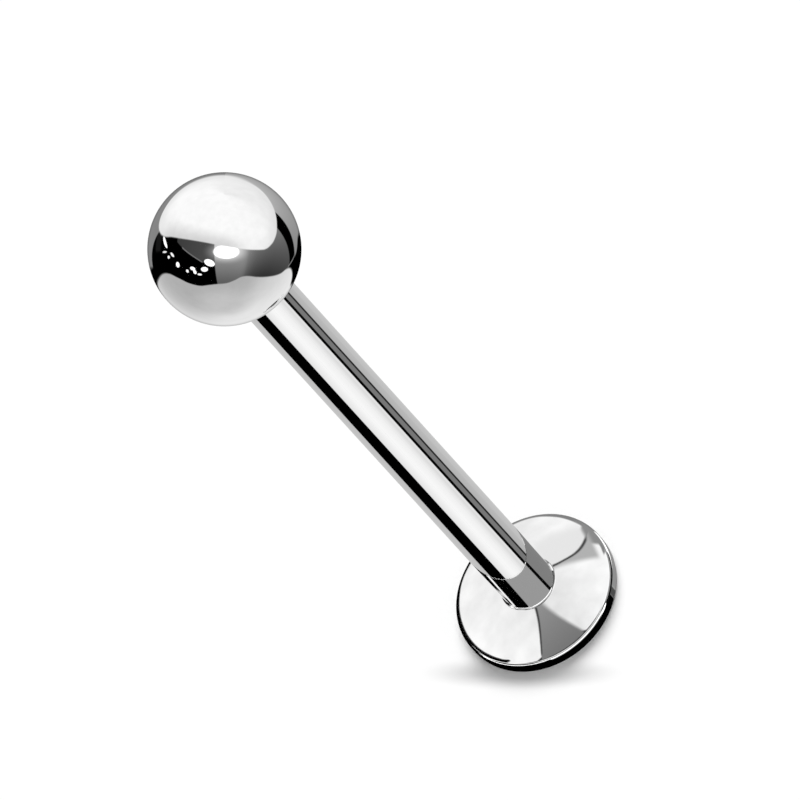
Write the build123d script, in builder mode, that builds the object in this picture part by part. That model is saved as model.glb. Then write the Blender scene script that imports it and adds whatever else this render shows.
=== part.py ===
from build123d import *
from math import cos, radians, sin, sqrt
import os

# Push-in labret stud, in millimetres. The stud stands on the flat back of its disc:
# the origin is the centre of that face and +Z runs up the post to the ball.

# Driving dimensions: a 16 gauge post, 14 mm long between the disc and the ball
post_diameter = 1.2
post_length = 14.0
ball_diameter = 3.2
disc_diameter = 3.6

# Back disc: a flat back, a rounded rim and a front that domes up to the post
rim_height = 0.34
dome_radius = 5.2
rim_front_round = 0.08
rim_back_round = 0.09
post_foot_round = 0.05

# Barrel: its bore is wide at the mouth for the collar and narrow below for the pin
mouth_bore_diameter = 0.87
mouth_bore_depth = 1.30
pin_bore_diameter = 0.57
pin_bore_depth = 6.40
mouth_outer_round = 0.04
mouth_inner_chamfer = 0.02

# Neck of the ball: a cone that leaves the ball on a tangent and curves in to its foot
neck_diameter = 0.96
neck_cone_angle = 50
neck_blend_radius = 0.15
seat_gap = 0.02

# Turned steps below the neck, from the top down. The collar and the tip run in the bore.
running_clearance = 0.015
pin_steps = [
    {"step": "collar", "diameter": mouth_bore_diameter - 2 * running_clearance, "length": 1.18},
    {"step": "undercut", "diameter": 0.36, "length": 0.12},
    {"step": "pin", "diameter": 0.48, "length": 2.85},
    {"step": "groove", "diameter": 0.36, "length": 0.52},
    {"step": "tip", "diameter": pin_bore_diameter - 2 * running_clearance, "length": 1.26},
]
broken_edge = 0.04
tip_end_chamfer = 0.07

# Radii
post_radius = post_diameter / 2
ball_radius = ball_diameter / 2
disc_radius = disc_diameter / 2
neck_radius = neck_diameter / 2


def dome_height(radius):
    """Height of the disc's domed front at a distance from the axis."""
    drop = sqrt(dome_radius**2 - disc_radius**2)
    return rim_height + sqrt(dome_radius**2 - radius**2) - drop


def step_corners(steps, top):
    """The upper and lower corner of each turned step, as (radius, height) by step name."""
    corners = {}
    height = top
    for row in steps:
        radius = row["diameter"] / 2
        corners[row["step"]] = [(radius, height), (radius, height - row["length"])]
        height -= row["length"]
    return corners


def corner(outline, point):
    """The outline's corner that lies nearest to a point."""
    return outline.vertices().sort_by_distance(point)[0]


# Heights along the axis
post_foot = dome_height(post_radius)
mouth_height = post_foot + post_length
neck_bottom = mouth_height + seat_gap

# The cone's lower end, where the curve begins, and the ball that the cone is tangent to
neck_angle = radians(neck_cone_angle)
cone_end_radius = neck_radius + neck_blend_radius * (1 - cos(neck_angle))
cone_end = neck_bottom + neck_blend_radius * sin(neck_angle)
ball_centre = cone_end + (ball_radius - cone_end_radius * cos(neck_angle)) / sin(neck_angle)

os.makedirs("parts", exist_ok=True)

# Disc and hollow post, soldered into one piece of metal
with BuildPart() as barrel:
    with BuildSketch(Plane.XZ) as barrel_outline:
        with BuildLine():
            Polyline((0, 0), (disc_radius, 0), (disc_radius, rim_height))
            RadiusArc((disc_radius, rim_height), (post_radius, post_foot), -dome_radius)
            Polyline((post_radius, post_foot), (post_radius, mouth_height), (0, mouth_height), (0, 0))
        make_face()
        fillet(corner(barrel_outline, (disc_radius, 0)), rim_back_round)
        fillet(corner(barrel_outline, (disc_radius, rim_height)), rim_front_round)
        fillet(corner(barrel_outline, (post_radius, post_foot)), post_foot_round)
        fillet(corner(barrel_outline, (post_radius, mouth_height)), mouth_outer_round)
    revolve(axis=Axis.Z)
    with Locations((0, 0, mouth_height)):
        CounterBoreHole(
            radius=pin_bore_diameter / 2,
            counter_bore_radius=mouth_bore_diameter / 2,
            counter_bore_depth=mouth_bore_depth,
            depth=pin_bore_depth,
        )
    mouth_face = barrel.faces().sort_by(Axis.Z)[-1]
    chamfer(mouth_face.inner_wires()[0].edges(), mouth_inner_chamfer)
barrel.part.label = "barrel"
export_step(barrel.part, "parts/barrel.step")

# Ball, neck, collar and pin, turned as one piece
with BuildPart() as ball_top:
    pin_corners = step_corners(pin_steps, neck_bottom)
    pin_end = pin_corners["tip"][1][1]
    with BuildSketch(Plane.XZ) as top_outline:
        with BuildLine():
            ball = CenterArc((0, ball_centre), ball_radius, -neck_cone_angle, 90 + neck_cone_angle)
            blend_centre = (neck_radius + neck_blend_radius, neck_bottom)
            blend = CenterArc(blend_centre, neck_blend_radius, 180 - neck_cone_angle, neck_cone_angle)
            Line(ball @ 0, blend @ 0)
            Polyline(
                blend @ 1,
                *[point for ends in pin_corners.values() for point in ends],
                (0, pin_end),
                ball @ 1,
            )
        make_face()
        chamfer(corner(top_outline, pin_corners["collar"][1]), broken_edge)
        chamfer(corner(top_outline, pin_corners["pin"][0]), broken_edge)
        chamfer(corner(top_outline, pin_corners["pin"][1]), broken_edge)
        chamfer(corner(top_outline, pin_corners["tip"][0]), broken_edge)
        chamfer(corner(top_outline, pin_corners["tip"][1]), tip_end_chamfer)
    revolve(axis=Axis.Z)
ball_top.part.label = "ball_top"
export_step(ball_top.part, "parts/ball_top.step")
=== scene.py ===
"""A labret stud of polished steel, standing on a pale table among studio softboxes."""
from math import cos, pi, radians, sin, sqrt

import bmesh
import bpy
from mathutils import Matrix, Vector


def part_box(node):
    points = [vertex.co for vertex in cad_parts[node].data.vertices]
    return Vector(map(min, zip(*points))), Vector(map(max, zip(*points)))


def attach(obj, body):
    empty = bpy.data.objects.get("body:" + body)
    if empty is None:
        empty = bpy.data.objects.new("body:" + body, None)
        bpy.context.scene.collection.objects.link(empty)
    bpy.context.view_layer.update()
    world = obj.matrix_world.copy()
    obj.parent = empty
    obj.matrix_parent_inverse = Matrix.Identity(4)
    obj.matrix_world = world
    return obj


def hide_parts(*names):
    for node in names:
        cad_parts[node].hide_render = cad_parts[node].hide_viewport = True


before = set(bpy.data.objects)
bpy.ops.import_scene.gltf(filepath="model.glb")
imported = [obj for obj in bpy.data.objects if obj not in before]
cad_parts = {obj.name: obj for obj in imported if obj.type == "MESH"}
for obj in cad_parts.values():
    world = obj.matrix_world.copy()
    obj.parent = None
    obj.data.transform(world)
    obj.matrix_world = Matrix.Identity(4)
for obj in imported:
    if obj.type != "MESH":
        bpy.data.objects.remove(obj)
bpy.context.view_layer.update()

MM = 0.001

# The stud's own sizes, in millimetres
DISC_SIZES = {
    "Disc Radius": 1.8,
    "Rim Height": 0.34,
    "Dome Radius": 5.2,
    "Front Round": 0.08,
    "Back Round": 0.09,
    "Foot Round": 0.05,
    "Post Radius": 0.6,
}
POST_SIZES = {
    "Post Radius": 0.6,
    "Sunk Foot": 0.10,
    "Mouth Round": 0.04,
    "Mouth Chamfer": 0.02,
    "Mouth Bore Radius": 0.435,
    "Mouth Bore Depth": 1.30,
    "Pin Bore Radius": 0.285,
    "Pin Bore Depth": 6.40,
}
TOP_SIZES = {
    "Ball Radius": 1.6,
    "Neck Radius": 0.48,
    "Neck Blend": 0.15,
    "Collar Radius": 0.42,
    "Collar Length": 1.18,
    "Undercut Radius": 0.18,
    "Undercut Length": 0.12,
    "Pin Radius": 0.24,
    "Pin Length": 2.85,
    "Groove Radius": 0.18,
    "Groove Length": 0.52,
    "Tip Radius": 0.27,
    "Tip Length": 1.26,
    "Broken Edge": 0.04,
    "End Chamfer": 0.07,
}
NECK_CONE_ANGLE = radians(50)

# How finely the pieces are turned: segments round the axis, and steps along each arc
TURNED_SEGMENTS = 240
BACK_ROUND_STEPS = 16
FRONT_ROUND_STEPS = 24
DOME_STEPS = 32
FOOT_ROUND_STEPS = 16
MOUTH_ROUND_STEPS = 12
NECK_BLEND_STEPS = 12
BALL_STEPS = 128

# Heights that the frame gives, in millimetres
post_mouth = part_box("barrel")[1].z / MM
ball_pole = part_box("ball_top")[1].z / MM
ball_height = ball_pole - TOP_SIZES["Ball Radius"]
dome_drop = sqrt(DISC_SIZES["Dome Radius"] ** 2 - DISC_SIZES["Disc Radius"] ** 2)
post_foot = (
    DISC_SIZES["Rim Height"]
    + sqrt(DISC_SIZES["Dome Radius"] ** 2 - DISC_SIZES["Post Radius"] ** 2)
    - dome_drop
)

# The camera, as the photograph was taken
IMAGE_SIZE = 800
SENSOR = 36
LENS = 1500
VIEW_ELEVATION = radians(53.2)
VIEW_ROLL = radians(42.18)
VIEW_DISTANCE = 0.69134
BALL_PIXEL = (224.4, 249.3)
NEAREST_SEEN = 0.01
FURTHEST_SEEN = 3.0

# The steel: how much light it sends back, its roughness and the haze's part in it, the scales of
# the haze and the ripple, and how deep the ripple is
STEEL_REFLECTANCE = 0.80
STEEL_ROUGHNESS = 0.015
HAZE_ROUGHNESS = 0.03
HAZE_SCALE = 1800
RIPPLE_SCALE = 2600
RIPPLE_DEPTH = 0.00015

# The table, and the light that falls on it
TABLE_HALF_WIDTH = 1500
TABLE_WHITE = 0.9
TABLE_DROP = 0.001
TABLE_LIGHT = 0.72
TABLE_LIGHT_HEIGHT = radians(50)
TABLE_LIGHT_SPREAD = radians(50)
ROOM_LIGHT = 0.41
BACKGROUND_LIGHT = 1.0

# The gauze that deepens the shadow under the disc: its middle, half width, half depth, height
# above the table, and how much of the table light it holds back
GAUZE_MIDDLE = (-1.35, -1.15)
GAUZE_WIDTH = 2.6
GAUZE_DEPTH = 0.45
GAUZE_HEIGHT = 0.02
GAUZE_DENSITY = 0.95

# The studio's soft light. A tone is how bright the steel should look, from 0 for black to 1 for
# paper white. Angles are in degrees, and softness is the half width of an edge.
DISPLAY_GAMMA = 2.2
DOME_RADIUS = 300
DOME_SEGMENTS = 64
DOME_RINGS = 32
TENT_REACH = 80
TENT_HEIGHT = 960
SKY_REACH = 100
SKY_HEIGHT = 400

# What the ball mirrors, seen from the camera: degrees across, and degrees up or tone
CEILING_EDGE = [
    (-180, 32), (-150, 25), (-130, 15.5), (-105, 11.5), (-85, 13), (-45, 11.5), (0, 4.5),
    (22, 1), (45, -1), (62, -0.5), (76, 6), (85, 13), (105, 29.5), (130, 40), (155, 42), (180, 33),
]
TABLE_EDGE = [
    (-180, -1), (-165, -8), (-145, -14.5), (-105, -22.5), (-90, -31), (-70, -45), (-50, -52),
    (-15, -53), (5, -52), (20, -47), (35, -39.5), (65, -36), (85, -31), (105, -23), (118, -15),
    (130, -12.5), (150, -13), (165, -7.5), (180, -1),
]
CEILING_EDGE_TONE = [
    (-180, 0.86), (-120, 0.90), (-90, 0.82), (0, 0.83), (45, 0.95), (90, 0.88), (180, 0.89),
]
CEILING_TONE = [(-180, 0.93), (-120, 0.98), (0, 0.98), (60, 0.965), (100, 0.92), (180, 0.93)]
TABLE_TONE = [
    (-180, 0.88), (-120, 0.70), (-90, 0.68), (30, 0.68), (90, 0.80), (155, 0.89), (180, 0.88),
]
SCREEN_TONE = [(-180, 0.62), (25, 0.62), (40, 0.50), (55, 0.41), (80, 0.36), (180, 0.35)]
WEDGE_TOP = [(-180, -9), (122, -9), (135, -3), (150, 5), (165, 3.5), (180, 0)]

# Tones of the dark room between the softbox and the table
ROOM_TONE = 0.01
DIM_CORNER_TONE = 0.26
BACK_WALL_TONE = 0.12
STAND_TONE = 0.45
RAIL_TONE = 0.5
RIGHT_SCREEN_TONE = 0.52
LEFT_SCREEN_TONE = 0.51

# Lamps that the ball shows as glints: degrees across and up, half width and half height,
# tilt, tone, and how much the glow round it adds
GLINTS = [
    (3, -4, 19, 10, 0, 1.25, 0.30),
    (-23, -20, 8.5, 5, -20, 1.2, 0),
    (-33, -29, 6, 3.5, 0, 1.15, 0),
    (-53, -26, 4.5, 2.6, -15, 1.1, 0),
    (-51, -31, 3, 3, 0, 1.1, 0),
    (-44, -35.5, 4, 1.6, -10, 1.0, 0),
    (-64, -28, 2.6, 2.2, 0, 1.0, 0),
    (-78, -18, 3.6, 3.2, 30, 1.1, 0),
    (-85, -6, 4, 1.7, -35, 1.0, 0),
    (-93, -8, 2.5, 1.6, 0, 1.0, 0),
    (-101, -2.5, 5, 1, 0, 0.9, 0),
    (-101, 6.5, 8, 2.2, -40, 1.1, 0),
]

# Upright strips round the post: first and last degree round, and the tone at each
TENT_TONE = 0.735
TENT_STRIPS = [
    (-107, -55.3, 0.02, 0.02),
    (-55.3, -18, 0.885, 0.975),
    (-18, 13, 0.975, 0.935),
    (13, 30, 0.935, 0.858),
    (30, 42, 0.86, 0.89),
    (42, 53.5, 0.05, 0.05),
    (53.5, 72.5, 0.46, 0.46),
    (72.5, 81.5, 0.17, 0.17),
    (81.5, 112, 0.69, 0.715),
]

# The sky over the disc, and the flags and screens in it: first and last degree round, lowest and
# highest degree up, tone
SKY_TONE = 0.895
SKY_PATCHES = [
    (54, 146, 12, 44, 0.54),
    (-56, 42, 12, 43, 0.65),
    (42, 54, 12, 43, 0.05),
    (-106, -56, 12, 46, 0.02),
    (-136, -118, 33, 39, 0.9),
    (-100, 62, 55, 86, 0.12),
    (-38, 42, -52, -35, 0.5),
    (-38, 42, -35, -18, 0.78),
    (-38, 42, -18, 12, 1.15),
    (-150, -38, -54, 11, 0.02),
    (-112, -38, 3, 12, 1.5),
    (50, 105, -50, 10, 0.05),
    (-181, 78, -91, -50, 0.02),
    (78, 90, -91, -50, 0.3),
    (90, 150, -91, -50, 0.55),
]

# Where the far part of the disc's rim begins, as it mirrors the sky: degrees round from the
# camera's side, and degrees up
RIGHT_RIM_TONE = 0.5
LEFT_RIM_TONE = 0.03
RIM_LINE = [
    (-180, 58), (117, 58), (122.2, 54.3), (128.2, 49), (134, 43.8), (139.7, 38.7),
    (150.2, 29.9), (159.6, 22.7), (168.2, 17.5), (180, 14.2),
]

# Tones on the disc's face: the curtain in front, and the shelf on the right
CURTAIN_TONE = 0.57
CURTAIN_EDGE_TONE = 0.2
SHELF_TONE = 0.69
SHELF_EDGE_TONE = 0.25
UNDER_SHELF_TONE = 0.90

FLOAT = "NodeSocketFloat"
INTEGER = "NodeSocketInt"
MATERIAL = "NodeSocketMaterial"
GEOMETRY = "NodeSocketGeometry"


# Numbers in node trees

class Number:
    """A number in a node tree. A sum written with it becomes the Math nodes that work it out."""

    def __init__(self, tree, socket):
        self.tree = tree
        self.socket = socket

    def __add__(self, other):
        return calculate(self.tree, "ADD", self, other)

    def __radd__(self, other):
        return calculate(self.tree, "ADD", other, self)

    def __sub__(self, other):
        return calculate(self.tree, "SUBTRACT", self, other)

    def __rsub__(self, other):
        return calculate(self.tree, "SUBTRACT", other, self)

    def __mul__(self, other):
        return calculate(self.tree, "MULTIPLY", self, other)

    def __rmul__(self, other):
        return calculate(self.tree, "MULTIPLY", other, self)

    def __truediv__(self, other):
        return calculate(self.tree, "DIVIDE", self, other)

    def __neg__(self):
        return calculate(self.tree, "MULTIPLY", self, -1)


def feed(tree, value, socket):
    """Links a number or a socket to a node's input, or sets the input to a plain value."""
    if isinstance(value, Number):
        value = value.socket
    if isinstance(value, bpy.types.NodeSocket):
        tree.links.new(value, socket)
    else:
        socket.default_value = value


def add(tree, kind, inputs=None, **settings):
    """A new node, with its settings and what feeds its inputs."""
    node = tree.nodes.new(kind)
    for name, value in settings.items():
        setattr(node, name, value)
    for name, value in (inputs or {}).items():
        feed(tree, value, node.inputs[name])
    return node


def calculate(tree, operation, *values):
    """The result of a Math node."""
    node = add(tree, "ShaderNodeMath", dict(enumerate(values)), operation=operation)
    return Number(tree, node.outputs[0])


def root(number):
    return calculate(number.tree, "SQRT", number)


def cosine(tree, angle):
    return calculate(tree, "COSINE", angle)


def sine(tree, angle):
    return calculate(tree, "SINE", angle)


def place(tree, x, y, z):
    """A vector socket from three numbers."""
    return add(tree, "ShaderNodeCombineXYZ", {"X": x, "Y": y, "Z": z}).outputs[0]


def parts_of(tree, vector):
    """The three numbers of a vector socket."""
    node = add(tree, "ShaderNodeSeparateXYZ", {0: vector})
    return [Number(tree, socket) for socket in node.outputs]


# Turned pieces, as Geometry Nodes

def geometry_tree(name, inputs):
    """A new geometry tree, and its inputs by name."""
    tree = bpy.data.node_groups.new(name, "GeometryNodeTree")
    for label, kind in inputs.items():
        tree.interface.new_socket(label, in_out="INPUT", socket_type=kind)
    tree.interface.new_socket("Geometry", in_out="OUTPUT", socket_type=GEOMETRY)
    entry = tree.nodes.new("NodeGroupInput")
    return tree, {label: Number(tree, entry.outputs[label]) for label in inputs}


def end_tree(tree, geometry):
    """Sends the finished geometry out of a tree."""
    add(tree, "NodeGroupOutput", {"Geometry": geometry})


def outline_arc_tree():
    """An arc of an outline, with its finest steps at both ends, where it shades into a flat."""
    names = ["Centre Radius", "Centre Height", "Arc Radius", "Start Angle", "End Angle", "Easing"]
    tree, size = geometry_tree("Outline arc", {**dict.fromkeys(names, FLOAT), "Steps": INTEGER})
    line = add(tree, "GeometryNodeCurvePrimitiveLine")
    stepped = add(
        tree,
        "GeometryNodeResampleCurve",
        {"Curve": line.outputs[0], "Count": size["Steps"] + 1},
        mode="COUNT",
    )
    along = Number(tree, add(tree, "GeometryNodeSplineParameter").outputs["Factor"])
    eased = along * along * (3 - along * 2)
    share = along + (eased - along) * size["Easing"]
    angle = size["Start Angle"] + (size["End Angle"] - size["Start Angle"]) * share
    radius = size["Centre Radius"] + size["Arc Radius"] * cosine(tree, angle)
    height = size["Centre Height"] + size["Arc Radius"] * sine(tree, angle)
    placed = add(
        tree,
        "GeometryNodeSetPosition",
        {"Geometry": stepped.outputs[0], "Position": place(tree, radius, 0, height)},
    )
    end_tree(tree, placed.outputs[0])
    return tree


def lathe_tree():
    """Turns outlines, drawn with the radius along X and the height along Z, about the Z axis."""
    spindle = 0.5 * MM
    weld = 0.0001 * MM
    sharp_angle = radians(25)
    tree, given = geometry_tree(
        "Lathe", {"Outlines": GEOMETRY, "Segments": INTEGER, "Finish": MATERIAL}
    )
    position = add(tree, "GeometryNodeInputPosition").outputs[0]
    radius, _, height = parts_of(tree, position)
    # The outlines are swept round a small spindle circle, so they are measured from it
    section = add(
        tree,
        "GeometryNodeSetPosition",
        {"Geometry": given["Outlines"], "Position": place(tree, radius - spindle, -height, 0)},
    )
    circle = add(
        tree,
        "GeometryNodeCurvePrimitiveCircle",
        {"Resolution": given["Segments"], "Radius": spindle},
    )
    upright = add(
        tree, "GeometryNodeSetCurveNormal", {"Curve": circle.outputs[0]}, mode="Z_UP"
    )
    swept = add(
        tree,
        "GeometryNodeCurveToMesh",
        {"Curve": upright.outputs[0], "Profile Curve": section.outputs[0]},
    )
    welded = add(
        tree, "GeometryNodeMergeByDistance", {"Geometry": swept.outputs[0], "Distance": weld}
    )
    outward = add(tree, "GeometryNodeFlipFaces", {"Mesh": welded.outputs[0]})
    smooth = add(tree, "GeometryNodeSetShadeSmooth", {"Geometry": outward.outputs[0]})
    bend = Number(tree, add(tree, "GeometryNodeInputMeshEdgeAngle").outputs[0])
    creased = add(
        tree,
        "GeometryNodeSetShadeSmooth",
        {
            "Geometry": smooth.outputs[0],
            "Selection": calculate(tree, "GREATER_THAN", bend, sharp_angle),
            "Shade Smooth": False,
        },
        domain="EDGE",
    )
    solid = add(tree, "GeometryNodeRealizeInstances", {"Geometry": creased.outputs[0]})
    finished = add(
        tree,
        "GeometryNodeSetMaterial",
        {"Geometry": solid.outputs[0], "Material": given["Finish"]},
    )
    end_tree(tree, finished.outputs[0])
    return tree


class Outline:
    """Half of a turned piece's section, drawn from point to point, counterclockwise."""

    def __init__(self, tree, height):
        self.tree = tree
        self.curves = []
        self.end = (0, height)

    def line(self, radius, height):
        """A straight stretch from the outline's end to a point."""
        start = place(self.tree, self.end[0], 0, self.end[1])
        end = place(self.tree, radius, 0, height)
        line = add(self.tree, "GeometryNodeCurvePrimitiveLine", {"Start": start, "End": end})
        self.curves.append(line.outputs[0])
        self.end = (radius, height)

    def arc(self, centre_radius, centre_height, arc_radius, start, end, steps, easing=1.0):
        """An arc about a centre, whose start is the outline's end."""
        sizes = {
            "Centre Radius": centre_radius,
            "Centre Height": centre_height,
            "Arc Radius": arc_radius,
            "Start Angle": start,
            "End Angle": end,
            "Steps": steps,
            "Easing": easing,
        }
        tree = self.tree
        arc = tree.nodes.new("GeometryNodeGroup")
        arc.node_tree = bpy.data.node_groups["Outline arc"]
        for label, value in sizes.items():
            feed(tree, value, arc.inputs[label])
        self.curves.append(arc.outputs[0])
        self.end = (
            centre_radius + arc_radius * cosine(tree, end),
            centre_height + arc_radius * sine(tree, end),
        )

    def turn(self, segments, finish):
        """The piece that the outline makes on the lathe."""
        tree = self.tree
        together = add(tree, "GeometryNodeJoinGeometry")
        for curve in self.curves:
            tree.links.new(curve, together.inputs[0])
        turned = tree.nodes.new("GeometryNodeGroup")
        turned.node_tree = bpy.data.node_groups["Lathe"]
        feed(tree, together.outputs[0], turned.inputs["Outlines"])
        feed(tree, segments, turned.inputs["Segments"])
        feed(tree, finish, turned.inputs["Finish"])
        return turned.outputs[0]


def turning_tree(name, sizes):
    """A geometry tree for a turned piece, with an input for each of its sizes."""
    inputs = {**dict.fromkeys(sizes, FLOAT), "Segments": INTEGER, "Finish": MATERIAL}
    return geometry_tree(name, inputs)


def disc_tree(sizes):
    """The back disc: flat behind, rounded at the rim and domed up to the post's foot."""
    tree, size = turning_tree("Back disc", sizes)
    rim, dome, post = size["Disc Radius"], size["Dome Radius"], size["Post Radius"]
    front, back, foot = size["Front Round"], size["Back Round"], size["Foot Round"]
    dome_centre = size["Rim Height"] - root(dome * dome - rim * rim)
    front_rise = root((dome - front) * (dome - front) - (rim - front) * (rim - front))
    foot_rise = root((dome + foot) * (dome + foot) - (post + foot) * (post + foot))
    front_angle = calculate(tree, "ARCTAN2", front_rise, rim - front)
    foot_angle = calculate(tree, "ARCTAN2", foot_rise, post + foot)
    front_height, foot_height = dome_centre + front_rise, dome_centre + foot_rise
    outline = Outline(tree, 0)
    outline.line(rim - back, 0)
    outline.arc(rim - back, back, back, -pi / 2, 0, BACK_ROUND_STEPS)
    outline.line(rim, front_height)
    outline.arc(rim - front, front_height, front, 0, front_angle, FRONT_ROUND_STEPS)
    outline.arc(0, dome_centre, dome, front_angle, foot_angle, DOME_STEPS, easing=0)
    outline.arc(post + foot, foot_height, foot, foot_angle + pi, pi, FOOT_ROUND_STEPS)
    outline.line(0, foot_height)
    end_tree(tree, outline.turn(size["Segments"], size["Finish"]))
    return tree


def post_tree(sizes):
    """The hollow post, from just inside the disc to its mouth, with its stepped bore."""
    tree, size = turning_tree("Post", sizes)
    post, mouth, foot = size["Post Radius"], size["Post Mouth"], size["Post Foot"]
    edge, chamfer = size["Mouth Round"], size["Mouth Chamfer"]
    wide_bore, pin_bore = size["Mouth Bore Radius"], size["Pin Bore Radius"]
    step_height = mouth - size["Mouth Bore Depth"]
    bore_end = mouth - size["Pin Bore Depth"]
    outline = Outline(tree, foot - size["Sunk Foot"])
    outline.line(post, foot - size["Sunk Foot"])
    outline.line(post, mouth - edge)
    outline.arc(post - edge, mouth - edge, edge, 0, pi / 2, MOUTH_ROUND_STEPS)
    outline.line(wide_bore + chamfer, mouth)
    outline.line(wide_bore, mouth - chamfer)
    outline.line(wide_bore, step_height)
    outline.line(pin_bore, step_height)
    outline.line(pin_bore, bore_end)
    outline.line(0, bore_end)
    end_tree(tree, outline.turn(size["Segments"], size["Finish"]))
    return tree


def ball_top_tree(sizes):
    """The ball with its coned neck, and below it the collar, the pin and the pin's tip."""
    tree, size = turning_tree("Ball top", sizes)
    ball, centre, cone = size["Ball Radius"], size["Ball Height"], size["Cone Angle"]
    neck, blend = size["Neck Radius"], size["Neck Blend"]
    broken, chamfer = size["Broken Edge"], size["End Chamfer"]
    cone_end_radius = neck + blend * (1 - cosine(tree, cone))
    cone_end = centre - (ball - cone_end_radius * cosine(tree, cone)) / sine(tree, cone)
    neck_bottom = cone_end - blend * sine(tree, cone)
    bottom = {}
    height = neck_bottom
    for step in ("Collar", "Undercut", "Pin", "Groove", "Tip"):
        height = height - size[step + " Length"]
        bottom[step] = height
    collar, undercut, pin = size["Collar Radius"], size["Undercut Radius"], size["Pin Radius"]
    groove, tip = size["Groove Radius"], size["Tip Radius"]
    outline = Outline(tree, bottom["Tip"])
    outline.line(tip - chamfer, bottom["Tip"])
    outline.line(tip, bottom["Tip"] + chamfer)
    outline.line(tip, bottom["Groove"] - broken)
    outline.line(tip - broken, bottom["Groove"])
    outline.line(groove, bottom["Groove"])
    outline.line(groove, bottom["Pin"])
    outline.line(pin - broken, bottom["Pin"])
    outline.line(pin, bottom["Pin"] + broken)
    outline.line(pin, bottom["Undercut"] - broken)
    outline.line(pin - broken, bottom["Undercut"])
    outline.line(undercut, bottom["Undercut"])
    outline.line(undercut, bottom["Collar"])
    outline.line(collar - broken, bottom["Collar"])
    outline.line(collar, bottom["Collar"] + broken)
    outline.line(collar, neck_bottom)
    outline.line(neck, neck_bottom)
    outline.arc(neck + blend, neck_bottom, blend, pi, pi - cone, NECK_BLEND_STEPS)
    outline.line(ball * cosine(tree, cone), centre - ball * sine(tree, cone))
    outline.arc(0, centre, ball, -cone, pi / 2, BALL_STEPS, easing=0)
    end_tree(tree, outline.turn(size["Segments"], size["Finish"]))
    return tree


def put_in_scene(name, data):
    """A new object in the scene."""
    thing = bpy.data.objects.new(name, data)
    bpy.context.collection.objects.link(thing)
    return thing


def turned_piece(name, tree, sizes, finish):
    """The plain mesh that a turning tree makes from its sizes in millimetres."""
    piece = put_in_scene(name, bpy.data.meshes.new(name))
    modifier = piece.modifiers.new(name, "NODES")
    modifier.node_group = tree
    for item in tree.interface.items_tree:
        if item.name in sizes:
            unit = 1 if item.name.endswith("Angle") else MM
            modifier[item.identifier] = sizes[item.name] * unit
        elif item.name == "Segments":
            modifier[item.identifier] = TURNED_SEGMENTS
        elif item.name == "Finish":
            modifier[item.identifier] = finish
    graph = bpy.context.evaluated_depsgraph_get()
    mesh = bpy.data.meshes.new_from_object(
        piece.evaluated_get(graph), preserve_all_data_layers=True, depsgraph=graph
    )
    piece.modifiers.remove(modifier)
    piece.data = mesh
    mesh.name = name
    return piece


# Finishes

def shader_tree(name):
    """A new material's node tree, its output node and the material."""
    material = bpy.data.materials.new(name)
    material.use_nodes = True
    material.node_tree.nodes.clear()
    tree = material.node_tree
    return material, tree, tree.nodes.new("ShaderNodeOutputMaterial")


def noise(tree, coordinates, scale, detail=2.0):
    """A noise pattern's value, from 0 to 1."""
    inputs = {"Vector": coordinates, "Scale": scale, "Detail": detail}
    return Number(tree, add(tree, "ShaderNodeTexNoise", inputs).outputs[0])


def mottle_of(tree, coordinates, scale, detail, depth):
    """A faint cloudiness in a tone, up to a depth on either side of it."""
    return noise(tree, coordinates, scale, detail) * (2 * depth) - depth


def polished_steel():
    """Mirror polished steel: near flawless, with the faint ripple and haze that buffing leaves."""
    material, tree, output = shader_tree("mirror_polished_steel")
    own = add(tree, "ShaderNodeTexCoord").outputs["Object"]
    haze = noise(tree, own, HAZE_SCALE, detail=4)
    ripple = noise(tree, own, RIPPLE_SCALE)
    steel = add(
        tree,
        "ShaderNodeBsdfPrincipled",
        {
            "Base Color": (STEEL_REFLECTANCE, STEEL_REFLECTANCE, STEEL_REFLECTANCE, 1),
            "Metallic": 1.0,
            "Roughness": haze * HAZE_ROUGHNESS + STEEL_ROUGHNESS,
        },
    )
    bump = add(
        tree, "ShaderNodeBump", {"Strength": 1.0, "Distance": RIPPLE_DEPTH * MM, "Height": ripple}
    )
    feed(tree, bump.outputs[0], steel.inputs["Normal"])
    feed(tree, steel.outputs[0], output.inputs[0])
    return material


# Studio

def studio_axes():
    """The photograph's right, up and towards-the-camera directions."""
    towards = Vector((0, -cos(VIEW_ELEVATION), sin(VIEW_ELEVATION)))
    level_up = Vector((0, sin(VIEW_ELEVATION), cos(VIEW_ELEVATION)))
    across = Vector((1, 0, 0))
    right = cos(VIEW_ROLL) * across - sin(VIEW_ROLL) * level_up
    up = sin(VIEW_ROLL) * across + cos(VIEW_ROLL) * level_up
    return right, up, towards


def facing(location, right, up, towards):
    """The placing of an object whose X, Y and Z axes point right, up and towards."""
    turn = Matrix((right, up, towards)).transposed().to_4x4()
    return Matrix.Translation(location) @ turn


def make_camera():
    """The camera at the photograph's angle, turned so that the stud leans as it does there."""
    right, up, towards = studio_axes()
    ball = Vector((0, 0, ball_height * MM))
    pixel = VIEW_DISTANCE * SENSOR / (LENS * IMAGE_SIZE)
    aim = (
        ball
        + right * (IMAGE_SIZE / 2 - BALL_PIXEL[0]) * pixel
        - up * (IMAGE_SIZE / 2 - BALL_PIXEL[1]) * pixel
    )
    data = bpy.data.cameras.new("camera")
    data.lens = LENS
    data.sensor_width = SENSOR
    data.clip_start = NEAREST_SEEN
    data.clip_end = FURTHEST_SEEN
    camera = put_in_scene("camera", data)
    camera.matrix_world = facing(aim + towards * VIEW_DISTANCE, right, up, towards)
    bpy.context.scene.camera = camera


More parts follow.
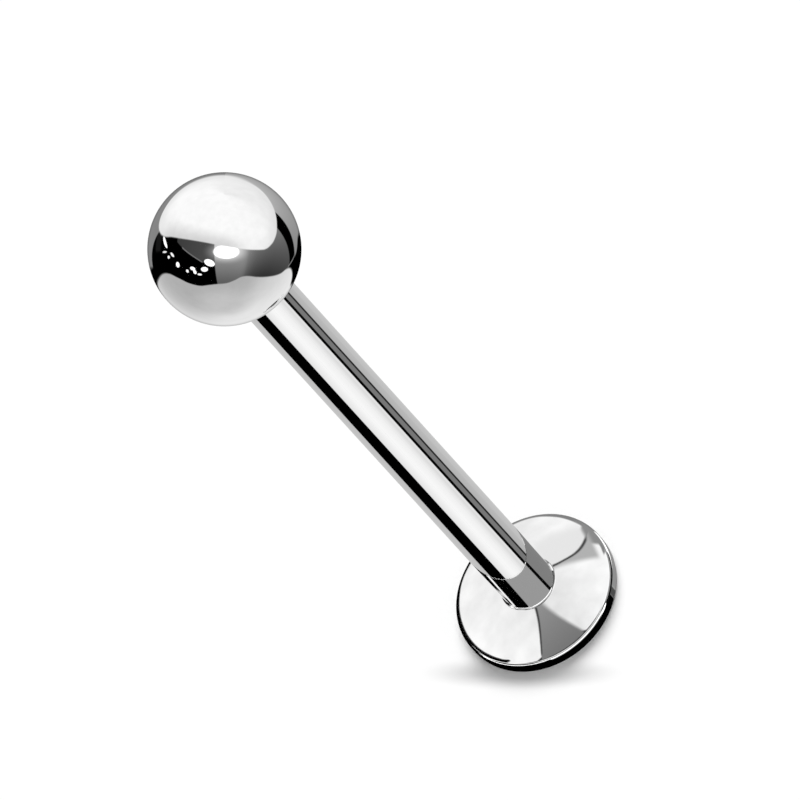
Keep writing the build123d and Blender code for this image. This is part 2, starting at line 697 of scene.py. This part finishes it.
def rise(value, edge, soft=1.0):
    """0 below an edge and 1 above it."""
    step = add(
        value.tree,
        "ShaderNodeMapRange",
        {"Value": value - edge, "From Min": -soft, "From Max": soft},
        interpolation_type="SMOOTHSTEP",
    )
    return Number(value.tree, step.outputs[0])


def fall(value, edge, soft=1.0):
    """1 below an edge and 0 above it."""
    return 1 - rise(value, edge, soft)


def within(value, low, high, soft=1.0):
    """1 between two edges and 0 outside them."""
    return rise(value, low, soft) * fall(value, high, soft)


def blend(under, over, mask):
    """One tone laid over another where the mask is 1."""
    return (over - under) * mask + under


def steady(tree, value):
    """A number that is the same everywhere."""
    return calculate(tree, "ADD", value, 0)


def size_of(number):
    """A number without its sign."""
    return calculate(number.tree, "ABSOLUTE", number)


def in_degrees(angle):
    return angle * (180 / pi)


def follow(value, rows, low=-90, high=90):
    """A number that follows another smoothly through rows of (angle, result)."""
    node = add(value.tree, "ShaderNodeFloatCurve", {"Value": value / 360 + 0.5})
    points = node.mapping.curves[0].points
    while len(points) < len(rows):
        points.new(0.5, 0.5)
    for point, (angle, result) in zip(points, rows):
        point.location = (angle / 360 + 0.5, (result - low) / (high - low))
        point.handle_type = "AUTO_CLAMPED"
    node.mapping.update()
    return Number(value.tree, node.outputs[0]) * (high - low) + low


def radiance(tone):
    """The light that the steel has to mirror in order to show a tone."""
    return calculate(tone.tree, "POWER", tone, DISPLAY_GAMMA) / STEEL_REFLECTANCE


def ceiling_of_the_ball(tree, across, up, mottle):
    """The overhead softbox as the ball mirrors it, and where it ends."""
    edge = follow(across, CEILING_EDGE)
    low_tone = follow(across, CEILING_EDGE_TONE, 0, 1)
    high_tone = follow(across, CEILING_TONE, 0, 1)
    tone = blend(low_tone, high_tone, rise(up - edge, 12, 13)) + mottle
    soft = 1.2 + rise(size_of(across), 160, 15) * 5
    return tone, rise(up, edge, soft)


def table_of_the_ball(tree, across, up, mottle):
    """The white table as the ball mirrors it, and where it ends."""
    tone = blend(follow(across, TABLE_TONE, 0, 1), 0.75, fall(up, -65, 15)) + mottle * 0.6
    return tone, fall(up, follow(across, TABLE_EDGE), 1.2)


def room_of_the_ball(tree, across, up):
    """The dark room between the softbox and the table: flags, grey screens and a light stand."""
    stand_line = 8 - (across + 75) * 0.65
    rail_line = (across - 124) * 0.75 - 9
    left_screen = fall(across, up * 1.15 - 137, 1.5) * rise(up, -0.5 - (across + 180) * 0.22)
    right_screen = rise(across, 129.6 - up * 0.49, 1.5) * rise(up, follow(across, WEDGE_TOP))
    middle_screen = within(across, -15, 112 - up * 0.75, 1.2)
    stand = fall(size_of(up - stand_line), 1.0, 0.6) * within(across, -66, -34)
    dim_corner = rise(up, stand_line) * within(up, -19, 20) * within(across, -76, -15, 1.5)
    back_wall = fall(size_of(across + 118), 8, 4) * rise(up, -2, 2)
    rail = fall(size_of(up - rail_line), 0.9, 0.7) * within(across, 118, 131)
    tone = steady(tree, ROOM_TONE)
    tone = blend(tone, DIM_CORNER_TONE + (across + 60) * 0.001, dim_corner)
    tone = blend(tone, BACK_WALL_TONE, back_wall)
    tone = blend(tone, STAND_TONE, stand)
    tone = blend(tone, follow(across, SCREEN_TONE, 0, 1) + up * 0.005, middle_screen)
    tone = blend(tone, RIGHT_SCREEN_TONE + up * 0.004, right_screen)
    tone = blend(tone, RAIL_TONE, rail)
    return blend(tone, LEFT_SCREEN_TONE, left_screen)


def glints_of_the_ball(tone, across, up):
    """The lamps, laid over a tone. The largest has a glow round it."""
    for lamp_across, lamp_up, half_width, half_height, tilt, lamp_tone, glow in GLINTS:
        turned = radians(tilt)
        right, above = across - lamp_across, up - lamp_up
        along = (right * cos(turned) + above * sin(turned)) / half_width
        over = (above * cos(turned) - right * sin(turned)) / half_height
        distance = root(along * along + over * over)
        if glow:
            tone = tone + fall(distance, 1.25, 0.75) * glow
        tone = blend(tone, lamp_tone, fall(distance, 1, 0.12))
    return tone


def studio_of_the_ball():
    """What the ball mirrors, painted on a dome round it."""
    material, tree, output = shader_tree("studio_round_the_ball")
    own = add(tree, "ShaderNodeTexCoord").outputs["Object"]
    x, y, z = parts_of(tree, own)
    across = in_degrees(calculate(tree, "ARCTAN2", x, z))
    up = in_degrees(calculate(tree, "ARCSINE", y / (DOME_RADIUS * MM)))
    from_back = 180 - size_of(across)
    far_side = fall(root(from_back * from_back + up * up), 20, 10)
    mottle = mottle_of(tree, own, scale=22, detail=3, depth=0.03)
    tone = glints_of_the_ball(room_of_the_ball(tree, across, up), across, up)
    tone = blend(tone, *ceiling_of_the_ball(tree, across, up, mottle))
    tone = blend(tone, *table_of_the_ball(tree, across, up, mottle))
    tone = tone * (1 - far_side * 0.2)
    light = add(tree, "ShaderNodeEmission", {"Strength": radiance(tone)})
    feed(tree, light.outputs[0], output.inputs[0])
    material.cycles.emission_sampling = "NONE"
    return material


def direction_from(tree, centre):
    """The direction of a lamp's point: as a vector, in degrees round, and in degrees up.

    Degrees round are counted from the camera's side towards +X.
    """
    position = add(tree, "ShaderNodeNewGeometry").outputs["Position"]
    ray = add(tree, "ShaderNodeVectorMath", {0: position, 1: centre}, operation="SUBTRACT")
    unit = add(tree, "ShaderNodeVectorMath", {0: ray.outputs[0]}, operation="NORMALIZE")
    x, y, z = parts_of(tree, unit.outputs[0])
    around = in_degrees(calculate(tree, "ARCTAN2", x, -y))
    up = in_degrees(calculate(tree, "ARCSINE", z))
    return (x, y, z), around, up


def tent_of_the_post(tree):
    """Tone of the upright strips of light that the post mirrors."""
    _, around, _ = direction_from(tree, (0, 0, 0))
    tone = steady(tree, TENT_TONE)
    for first, last, first_tone, last_tone in TENT_STRIPS:
        slope = (last_tone - first_tone) / (last - first)
        strip = (around - first) * slope + first_tone
        tone = blend(tone, strip, within(around, first, last, 0.8))
    return tone


def curtain_of_the_disc(tone, across, above):
    """The grey curtain that the front of the disc's face mirrors, with a thin dark edge."""
    beyond = above - 12
    curtain = -3.8 - beyond * 0.35 - beyond * beyond * 0.02
    curtain_end = beyond * beyond * 0.009 - 1.2
    high = within(above, 9, 42)
    edge = fall(size_of(across - curtain), 0.5, 0.5) * high * fall(above, 33)
    cloth = rise(across, curtain, 0.3) * fall(across, curtain_end, 1.4) * high
    tone = blend(tone, CURTAIN_TONE - beyond * 0.004, cloth)
    return blend(tone, CURTAIN_EDGE_TONE, edge)


def shelf_of_the_disc(tone, across, above):
    """The grey shelf that the right of the disc's face mirrors, with a thin dark edge."""
    reach = size_of(across - 16.5)
    shelf = 2 - reach * reach * reach * 0.005
    shelf_top = 3.5 + (across - 13) * 0.36
    shelf_depth = rise(above, shelf, 0.4) * fall(above, shelf_top, 2.2)
    below_shelf = fall(above, shelf, 0.4) * rise(above, -16, 5)
    tone = blend(tone, UNDER_SHELF_TONE, below_shelf * within(across, 10.5, 28))
    return blend(tone, SHELF_TONE, shelf_depth * within(across, 10.5, 29.3, 1.2))


def shelf_edge_of_the_disc(tone, across, above):
    """The thin dark line along the shelf."""
    reach = size_of(across - 16.5)
    shelf = 2 - reach * reach * reach * 0.005
    gap = size_of(above - shelf) / (1 + reach * reach * 0.01)
    return blend(tone, SHELF_EDGE_TONE, fall(gap, 0.5, 0.5) * within(across, 10.5, 28))


def sky_of_the_disc(tree):
    """Tone of the softboxes and flags that the disc mirrors."""
    (x, y, z), around, up = direction_from(tree, (0, 0, 0.5 * MM))
    ahead = y * cos(VIEW_ELEVATION) + z * sin(VIEW_ELEVATION)
    lift = z * cos(VIEW_ELEVATION) - y * sin(VIEW_ELEVATION)
    across = in_degrees(calculate(tree, "ARCTAN2", x, ahead))
    above = in_degrees(calculate(tree, "ARCTAN2", lift, ahead))
    mottle = mottle_of(tree, place(tree, x, y, z), scale=6, detail=4, depth=0.08)
    tone = size_of(across) * 0.0028 + SKY_TONE + mottle
    beyond_the_rim = fall(up, follow(size_of(around), RIM_LINE), 0.4)
    tone = blend(tone, RIGHT_RIM_TONE, rise(around, 128) * beyond_the_rim)
    tone = blend(tone, LEFT_RIM_TONE, fall(around, -118) * beyond_the_rim)
    for first, last, low, high, patch_tone in SKY_PATCHES:
        tone = blend(tone, patch_tone, within(around, first, last) * within(up, low, high))
    tone = shelf_of_the_disc(tone, across, above)
    tone = curtain_of_the_disc(tone, across, above)
    return shelf_edge_of_the_disc(tone, across, above)


def group_of(name, *pieces):
    """A collection that a light can be linked to."""
    group = bpy.data.collections.new(name)
    for piece in pieces:
        group.objects.link(piece)
    return group


def hide_from(thing, *rays):
    """Leaves an object out of what some kinds of ray meet."""
    for ray in rays:
        setattr(thing, "visible_" + ray, False)


def sheet(name, half, material):
    """A flat square of a material, with its middle at the origin."""
    corners = [(-half, -half, 0), (half, -half, 0), (half, half, 0), (-half, half, 0)]
    mesh = bpy.data.meshes.new(name)
    mesh.from_pydata(corners, [], [(0, 1, 2, 3)])
    mesh.materials.append(material)
    return put_in_scene(name, mesh)


def lamp(name, placing, width, height, tone_of, lit):
    """A soft area lamp, painted by tone, that lights only one collection."""
    data = bpy.data.lights.new(name, "AREA")
    data.shape = "RECTANGLE"
    data.size = width * MM
    data.size_y = height * MM
    data.energy = pi * data.size * data.size_y
    data.use_nodes = True
    tree = data.node_tree
    feed(tree, radiance(tone_of(tree)), tree.nodes["Emission"].inputs["Strength"])
    light = put_in_scene(name, data)
    light.matrix_world = placing
    hide_from(light, "camera")
    light.light_linking.receiver_collection = lit


def lamp_walls(name, reach, height, tone_of, lit):
    """Four upright lamps that stand in a square round the stud and shine inwards."""
    inwards = Matrix.Rotation(pi / 2, 4, "X")
    stand = Matrix.Translation((0, -reach * MM, 0)) @ inwards
    for side in range(4):
        turn = Matrix.Rotation(side * pi / 2, 4, "Z")
        lamp(f"{name}_{side}", turn @ stand, 2 * reach, height, tone_of, lit)


def make_studio_dome(ball_top):
    """The dome that only the ball mirrors."""
    mesh = bpy.data.meshes.new("studio_dome")
    shell = bmesh.new()
    bmesh.ops.create_uvsphere(
        shell, u_segments=DOME_SEGMENTS, v_segments=DOME_RINGS, radius=DOME_RADIUS * MM
    )
    shell.to_mesh(mesh)
    shell.free()
    mesh.materials.append(studio_of_the_ball())
    dome = put_in_scene("studio_dome", mesh)
    dome.matrix_world = facing(Vector((0, 0, ball_height * MM)), *studio_axes())
    hide_from(dome, "camera", "diffuse", "shadow")
    dome.light_linking.receiver_collection = group_of("lit_by_dome", ball_top)


def make_lamps(disc, post):
    """The painted lamps that the post and the disc mirror."""
    lit_by_tent = group_of("lit_by_tent", post)
    lit_by_sky = group_of("lit_by_sky", disc)
    lamp_walls("post_tent", TENT_REACH, TENT_HEIGHT, tent_of_the_post, lit_by_tent)
    lamp_walls("disc_sky", SKY_REACH, SKY_HEIGHT, sky_of_the_disc, lit_by_sky)
    overhead = Matrix.Translation((0, 0, SKY_HEIGHT / 2 * MM))
    lamp("disc_sky_top", overhead, 2 * SKY_REACH, 2 * SKY_REACH, sky_of_the_disc, lit_by_sky)


def pale_table():
    """The table's plain pale paint."""
    material, tree, output = shader_tree("pale_table")
    paint = {"Color": (TABLE_WHITE, TABLE_WHITE, TABLE_WHITE, 1)}
    feed(tree, add(tree, "ShaderNodeBsdfDiffuse", paint).outputs[0], output.inputs[0])
    return material


def make_table():
    """The plain pale table under the stud."""
    table = sheet("table", TABLE_HALF_WIDTH * MM, pale_table())
    table.location.z = -TABLE_DROP * MM
    hide_from(table, "glossy", "shadow")
    return table


def gauze_cloth():
    """Gauze cloth that is densest at its middle and clear at its edge, so the shade that it casts
    on the table is deepest at its middle.
    """
    material, tree, output = shader_tree("gauze")
    x, y, _ = parts_of(tree, add(tree, "ShaderNodeTexCoord").outputs["Object"])
    density = fall(root(x * x + y * y), 0.5, 0.5) * GAUZE_DENSITY
    clear = add(tree, "ShaderNodeBsdfTransparent").outputs[0]
    cloth = add(tree, "ShaderNodeBsdfDiffuse").outputs[0]
    mixed = add(tree, "ShaderNodeMixShader", {"Fac": density, 1: clear, 2: cloth})
    feed(tree, mixed.outputs[0], output.inputs[0])
    return material


def make_gauze():
    """A scrap of gauze in the table light, which only casts shade."""
    _, up, _ = studio_axes()
    across = Vector((up.y, -up.x, 0)).normalized()
    away = Vector((up.x, up.y, 0)).normalized()
    middle = Vector((*GAUZE_MIDDLE, GAUZE_HEIGHT)) * MM
    gauze = sheet("gauze", 1, gauze_cloth())
    gauze.matrix_world = facing(middle, across, away, Vector((0, 0, 1)))
    gauze.scale = (GAUZE_WIDTH * MM, GAUZE_DEPTH * MM, MM)
    hide_from(gauze, "camera", "diffuse", "glossy", "transmission")
    return gauze


def make_table_light(table, disc):
    """Wide soft light from beyond the stud, which lays the disc's soft shadow on the table."""
    data = bpy.data.lights.new("table_light", "SUN")
    data.energy = TABLE_LIGHT * pi / sin(TABLE_LIGHT_HEIGHT)
    data.angle = TABLE_LIGHT_SPREAD
    light = put_in_scene("table_light", data)
    _, up, _ = studio_axes()
    beyond = Vector((up.x, up.y / sin(VIEW_ELEVATION) ** 2, 0)).normalized()
    source = beyond * cos(TABLE_LIGHT_HEIGHT) + Vector((0, 0, sin(TABLE_LIGHT_HEIGHT)))
    light.rotation_euler = source.to_track_quat("Z", "Y").to_euler()
    light.light_linking.receiver_collection = group_of("lit_by_table_light", table)
    light.light_linking.blocker_collection = group_of("shades_the_table", disc, make_gauze())


def make_room_light():
    """Even light on the table from all round, in front of a white background."""
    world = bpy.data.worlds.new("studio")
    bpy.context.scene.world = world
    world.use_nodes = True
    tree = world.node_tree
    background = tree.nodes["Background"]
    background.inputs["Color"].default_value = (1, 1, 1, 1)
    seen = Number(tree, add(tree, "ShaderNodeLightPath").outputs["Is Camera Ray"])
    strength = seen * (BACKGROUND_LIGHT - ROOM_LIGHT) + ROOM_LIGHT
    feed(tree, strength, background.inputs["Strength"])
    world.cycles_visibility.glossy = False


def make_stud(steel):
    """The disc and the post, which are one piece of metal, and the ball with its pin."""
    post_sizes = {**POST_SIZES, "Post Mouth": post_mouth, "Post Foot": post_foot}
    top_sizes = {**TOP_SIZES, "Ball Height": ball_height, "Cone Angle": NECK_CONE_ANGLE}
    disc = turned_piece("back_disc", disc_tree(DISC_SIZES), DISC_SIZES, steel)
    post = turned_piece("hollow_post", post_tree(post_sizes), post_sizes, steel)
    ball_top = turned_piece("ball_and_pin", ball_top_tree(top_sizes), top_sizes, steel)
    for piece, body in ((disc, "barrel"), (post, "barrel"), (ball_top, "ball_top")):
        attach(piece, body)
        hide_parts(body)
    # Kept out of the mirror image on the disc's face
    hide_from(post, "glossy")
    hide_from(ball_top, "glossy")
    return disc, post, ball_top


outline_arc_tree()
lathe_tree()
disc, post, ball_top = make_stud(polished_steel())
make_camera()
make_studio_dome(ball_top)
make_lamps(disc, post)
make_table_light(make_table(), disc)
make_room_light()
bpy.context.scene.view_settings.view_transform = "Standard"
